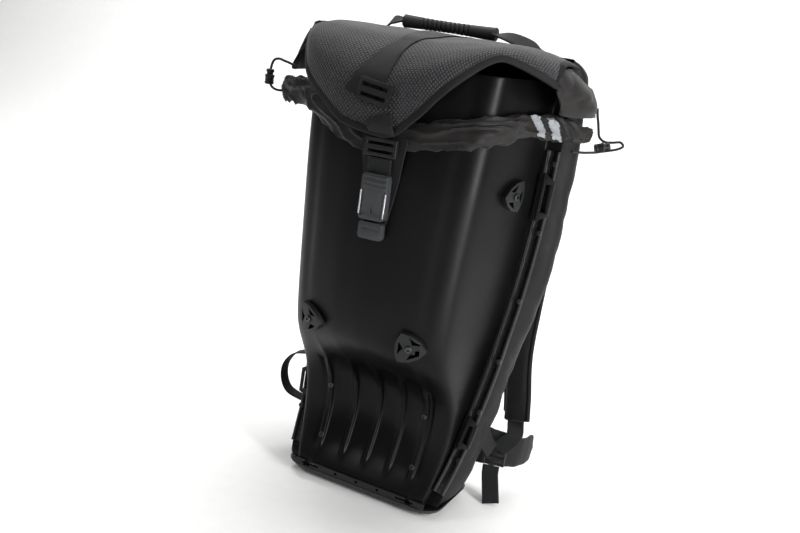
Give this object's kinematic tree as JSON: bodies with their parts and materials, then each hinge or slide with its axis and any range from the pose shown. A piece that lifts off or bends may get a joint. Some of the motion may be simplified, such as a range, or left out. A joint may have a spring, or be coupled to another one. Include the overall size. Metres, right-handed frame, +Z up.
{
  "type": "hard shell backpack",
  "caption": "Hard shell backpack with a ribbed scoop low on its front, a mesh hood buckled over a gathered collar, side rails and a padded back.",
  "frame": {"origin": "on the flat underside of the base tray, in the middle plane and below the line of the two side rails", "axes": "+Z up, +Y towards the wearer's back, +X to the right for a viewer who faces the shell"},
  "size_m": [0.4078, 0.31, 0.5844],
  "materials": {
    "shell": "satin black, moulded",
    "trim": "matt black, moulded",
    "grip": "matt black, grooved",
    "nylon": "black coated nylon",
    "mesh": "grey-black mesh",
    "padding": "black padded cloth",
    "webbing": "black woven webbing",
    "cord": "black braided cord",
    "reflective": "light grey reflective tape",
    "screw": "bright screw heads"
  },
  "bodies": {
    "root": {"shell": "shell", "back_body": "nylon", "base_tray": "trim", "rail_left": "trim", "lug_upper_left": "trim", "lug_lower_left": "trim", "rail_right": "trim", "lug_upper_right": "trim", "lug_lower_right": "trim", "lip_strip": "trim", "anchor_upper_left": "trim", "anchor_upper_right": "trim", "anchor_lower_left": "trim", "anchor_lower_right": "trim", "scoop_screw_upper_left": "screw", "scoop_screw_lower_left": "screw", "scoop_screw_upper_right": "screw", "scoop_screw_lower_right": "screw", "back_pad_left": "padding", "back_pad_right": "padding", "lumbar_pad": "padding", "shoulder_strap_left": "padding", "shoulder_strap_right": "padding", "hip_wing_left": "padding", "low_strap_left": "webbing", "tail_left": "webbing", "hip_wing_right": "padding", "low_strap_right": "webbing", "tail_right": "webbing", "hood": "mesh", "hood_strip": "nylon", "hood_strap": "webbing", "gusset_left": "nylon", "gusset_right": "nylon", "collar": "nylon", "reflective_left_1": "reflective", "reflective_left_2": "reflective", "reflective_right_1": "reflective", "reflective_right_2": "reflective", "tongue_pad": "webbing", "buckle_body": "trim", "buckle_tab": "trim", "strap_slider": "trim", "ladder_lock": "trim", "front_strap": "webbing", "buckle_strap": "webbing", "handle_grip": "grip", "handle_web_left": "webbing", "handle_web_right": "webbing", "strap_web_left": "webbing", "side_lock_left": "trim", "strap_web_right": "webbing", "side_lock_right": "trim", "side_loop_left": "webbing", "cord_left": "cord", "cord_lock_left": "trim", "cord_right": "cord", "cord_lock_right": "trim"}
  },
  "joints": []
}
